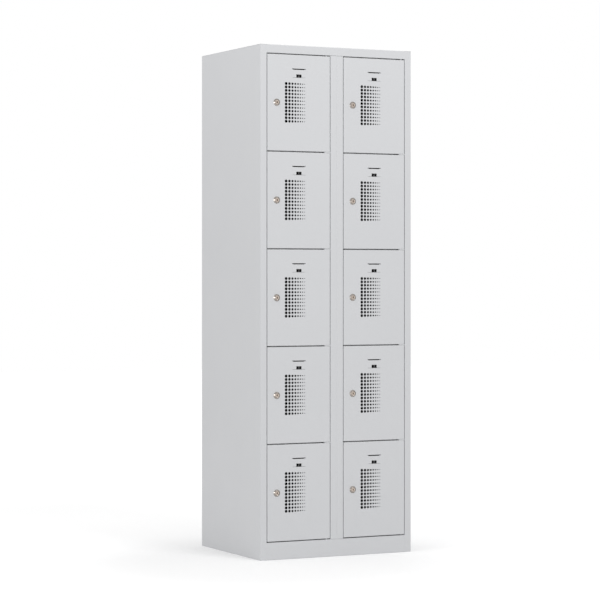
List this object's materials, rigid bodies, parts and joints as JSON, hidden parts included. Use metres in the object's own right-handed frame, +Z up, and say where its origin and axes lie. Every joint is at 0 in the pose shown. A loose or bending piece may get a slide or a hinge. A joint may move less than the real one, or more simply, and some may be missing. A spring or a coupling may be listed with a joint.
{
  "type": "compartment locker",
  "caption": "Steel locker: columns of stacked compartments, each behind its own perforated door with a card holder, pin hinges and a cam lock, in one cabinet on a plinth",
  "frame": {"origin": "on the floor under the middle of the outline, which runs from the faces of the locks to the back", "axes": "+X to the right seen from the front, -Y out of the doors, +Z up"},
  "size_m": [0.6, 0.503, 1.8],
  "materials": {
    "lacquered_steel": "light grey semi-matt powder coat with a fine orange peel, on folded 0.8 mm sheet steel",
    "hinge_metal": "bright zinc-plated steel pins and brackets",
    "lock_metal": "nickel-plated die casting with a slightly warm tone"
  },
  "bodies": {
    "cabinet": {"roof": "lacquered_steel", "plinth": "lacquered_steel", "back_panel": "lacquered_steel", "left_side_panel": "lacquered_steel", "left_partition": "lacquered_steel", "right_partition": "lacquered_steel", "right_side_panel": "lacquered_steel", "left_floor": "lacquered_steel", "left_shelf_1": "lacquered_steel", "left_shelf_2": "lacquered_steel", "left_shelf_3": "lacquered_steel", "left_shelf_4": "lacquered_steel", "left_hinge_bracket_1": "hinge_metal", "left_hinge_bracket_2": "hinge_metal", "left_hinge_bracket_3": "hinge_metal", "left_hinge_bracket_4": "hinge_metal", "left_top_hinge_pin": "hinge_metal", "left_bottom_hinge_pin": "hinge_metal", "right_floor": "lacquered_steel", "right_shelf_1": "lacquered_steel", "right_shelf_2": "lacquered_steel", "right_shelf_3": "lacquered_steel", "right_shelf_4": "lacquered_steel", "right_hinge_bracket_1": "hinge_metal", "right_hinge_bracket_2": "hinge_metal", "right_hinge_bracket_3": "hinge_metal", "right_hinge_bracket_4": "hinge_metal", "right_top_hinge_pin": "hinge_metal", "right_bottom_hinge_pin": "hinge_metal"},
    "left_door_1_leaf": {"left_door_1": "lacquered_steel", "left_lock_housing_1": "lock_metal"},
    "left_lock_1": {"left_lock_cam_1": "lock_metal"},
    "left_door_2_leaf": {"left_door_2": "lacquered_steel", "left_lock_housing_2": "lock_metal"},
    "left_lock_2": {"left_lock_cam_2": "lock_metal"},
    "left_door_3_leaf": {"left_door_3": "lacquered_steel", "left_lock_housing_3": "lock_metal"},
    "left_lock_3": {"left_lock_cam_3": "lock_metal"},
    "left_door_4_leaf": {"left_door_4": "lacquered_steel", "left_lock_housing_4": "lock_metal"},
    "left_lock_4": {"left_lock_cam_4": "lock_metal"},
    "left_door_5_leaf": {"left_door_5": "lacquered_steel", "left_lock_housing_5": "lock_metal"},
    "left_lock_5": {"left_lock_cam_5": "lock_metal"},
    "right_door_1_leaf": {"right_door_1": "lacquered_steel", "right_lock_housing_1": "lock_metal"},
    "right_lock_1": {"right_lock_cam_1": "lock_metal"},
    "right_door_2_leaf": {"right_door_2": "lacquered_steel", "right_lock_housing_2": "lock_metal"},
    "right_lock_2": {"right_lock_cam_2": "lock_metal"},
    "right_door_3_leaf": {"right_door_3": "lacquered_steel", "right_lock_housing_3": "lock_metal"},
    "right_lock_3": {"right_lock_cam_3": "lock_metal"},
    "right_door_4_leaf": {"right_door_4": "lacquered_steel", "right_lock_housing_4": "lock_metal"},
    "right_lock_4": {"right_lock_cam_4": "lock_metal"},
    "right_door_5_leaf": {"right_door_5": "lacquered_steel", "right_lock_housing_5": "lock_metal"},
    "right_lock_5": {"right_lock_cam_5": "lock_metal"}
  },
  "joints": [
    {"name": "left_door_1_hinge", "type": "hinge", "parent": "cabinet", "child": "left_door_1_leaf", "pos_m": [-0.038, -0.24151, 1.59835], "axis": [0, 0, 1], "range_deg": [0, 110]},
    {"name": "left_lock_1_turn", "type": "hinge", "parent": "left_door_1_leaf", "child": "left_lock_1", "pos_m": [-0.2365, -0.2485, 1.59835], "axis": [0, 1, 0], "range_deg": [0, 90]},
    {"name": "left_door_2_hinge", "type": "hinge", "parent": "cabinet", "child": "left_door_2_leaf", "pos_m": [-0.038, -0.24151, 1.25705], "axis": [0, 0, 1], "range_deg": [0, 110]},
    {"name": "left_lock_2_turn", "type": "hinge", "parent": "left_door_2_leaf", "child": "left_lock_2", "pos_m": [-0.2365, -0.2485, 1.25705], "axis": [0, 1, 0], "range_deg": [0, 90]},
    {"name": "left_door_3_hinge", "type": "hinge", "parent": "cabinet", "child": "left_door_3_leaf", "pos_m": [-0.038, -0.24151, 0.91575], "axis": [0, 0, 1], "range_deg": [0, 110]},
    {"name": "left_lock_3_turn", "type": "hinge", "parent": "left_door_3_leaf", "child": "left_lock_3", "pos_m": [-0.2365, -0.2485, 0.91575], "axis": [0, 1, 0], "range_deg": [0, 90]},
    {"name": "left_door_4_hinge", "type": "hinge", "parent": "cabinet", "child": "left_door_4_leaf", "pos_m": [-0.038, -0.24151, 0.57445], "axis": [0, 0, 1], "range_deg": [0, 110]},
    {"name": "left_lock_4_turn", "type": "hinge", "parent": "left_door_4_leaf", "child": "left_lock_4", "pos_m": [-0.2365, -0.2485, 0.57445], "axis": [0, 1, 0], "range_deg": [0, 90]},
    {"name": "left_door_5_hinge", "type": "hinge", "parent": "cabinet", "child": "left_door_5_leaf", "pos_m": [-0.038, -0.24151, 0.23315], "axis": [0, 0, 1], "range_deg": [0, 110]},
    {"name": "left_lock_5_turn", "type": "hinge", "parent": "left_door_5_leaf", "child": "left_lock_5", "pos_m": [-0.2365, -0.2485, 0.23315], "axis": [0, 1, 0], "range_deg": [0, 90]},
    {"name": "right_door_1_hinge", "type": "hinge", "parent": "cabinet", "child": "right_door_1_leaf", "pos_m": [0.262, -0.24151, 1.59835], "axis": [0, 0, 1], "range_deg": [0, 110]},
    {"name": "right_lock_1_turn", "type": "hinge", "parent": "right_door_1_leaf", "child": "right_lock_1", "pos_m": [0.0635, -0.2485, 1.59835], "axis": [0, 1, 0], "range_deg": [0, 90]},
    {"name": "right_door_2_hinge", "type": "hinge", "parent": "cabinet", "child": "right_door_2_leaf", "pos_m": [0.262, -0.24151, 1.25705], "axis": [0, 0, 1], "range_deg": [0, 110]},
    {"name": "right_lock_2_turn", "type": "hinge", "parent": "right_door_2_leaf", "child": "right_lock_2", "pos_m": [0.0635, -0.2485, 1.25705], "axis": [0, 1, 0], "range_deg": [0, 90]},
    {"name": "right_door_3_hinge", "type": "hinge", "parent": "cabinet", "child": "right_door_3_leaf", "pos_m": [0.262, -0.24151, 0.91575], "axis": [0, 0, 1], "range_deg": [0, 110]},
    {"name": "right_lock_3_turn", "type": "hinge", "parent": "right_door_3_leaf", "child": "right_lock_3", "pos_m": [0.0635, -0.2485, 0.91575], "axis": [0, 1, 0], "range_deg": [0, 90]},
    {"name": "right_door_4_hinge", "type": "hinge", "parent": "cabinet", "child": "right_door_4_leaf", "pos_m": [0.262, -0.24151, 0.57445], "axis": [0, 0, 1], "range_deg": [0, 110]},
    {"name": "right_lock_4_turn", "type": "hinge", "parent": "right_door_4_leaf", "child": "right_lock_4", "pos_m": [0.0635, -0.2485, 0.57445], "axis": [0, 1, 0], "range_deg": [0, 90]},
    {"name": "right_door_5_hinge", "type": "hinge", "parent": "cabinet", "child": "right_door_5_leaf", "pos_m": [0.262, -0.24151, 0.23315], "axis": [0, 0, 1], "range_deg": [0, 110]},
    {"name": "right_lock_5_turn", "type": "hinge", "parent": "right_door_5_leaf", "child": "right_lock_5", "pos_m": [0.0635, -0.2485, 0.23315], "axis": [0, 1, 0], "range_deg": [0, 90]}
  ]
}
